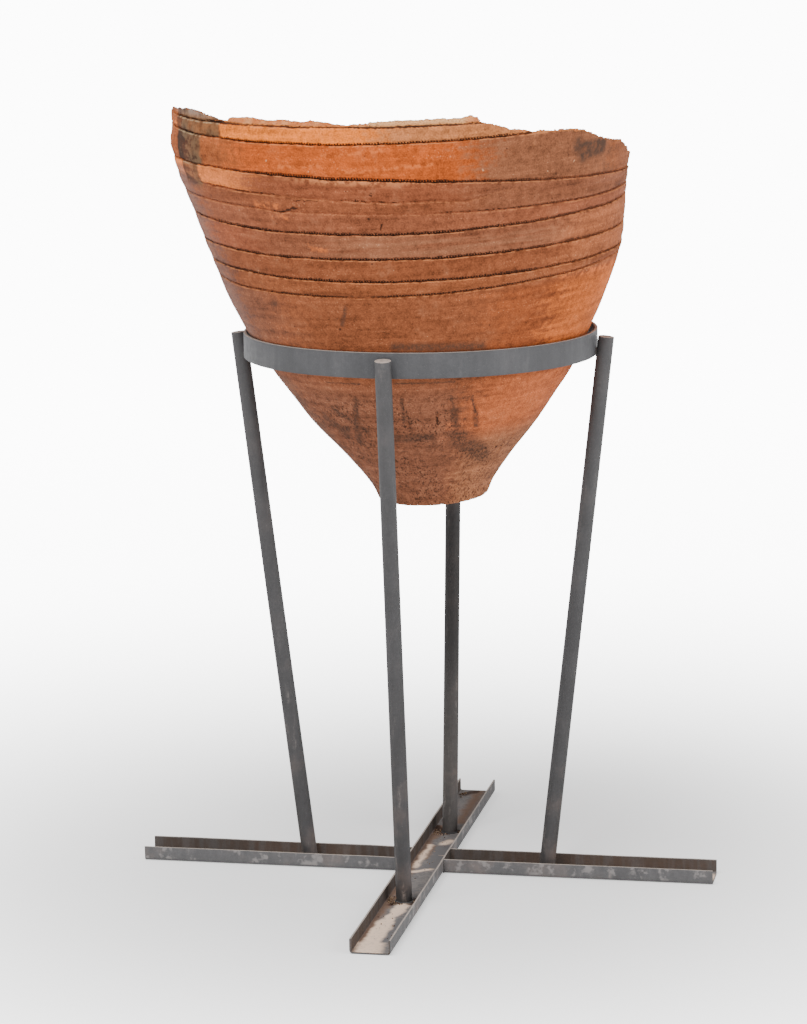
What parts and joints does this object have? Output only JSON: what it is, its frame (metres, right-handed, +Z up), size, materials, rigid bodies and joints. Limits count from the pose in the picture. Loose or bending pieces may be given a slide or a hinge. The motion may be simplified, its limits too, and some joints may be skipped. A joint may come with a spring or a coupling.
{
  "type": "pithos",
  "caption": "Large clay storage jar with cord-pressed grooves, broken off at its belly, hung by its cone in a hoop on a four-legged steel stand with a cross base.",
  "frame": {"origin": "on the floor at the middle of the stand's cross base", "axes": "+X to the right along the two butted arms, +Y to the back along the through channel, +Z up"},
  "size_m": [1, 0.976, 1.3317],
  "materials": {
    "clay": "matt, weathered",
    "ring_paint": "worn matt grey paint",
    "leg_paint": "worn matt grey paint",
    "channel_paint": "worn, dusty matt grey paint"
  },
  "bodies": {
    "root": {"pithos": "clay", "ring_band": "ring_paint", "leg_front": "leg_paint", "leg_back": "leg_paint", "leg_left": "leg_paint", "leg_right": "leg_paint", "channel_long": "channel_paint", "channel_left": "channel_paint", "channel_right": "channel_paint"}
  },
  "joints": []
}
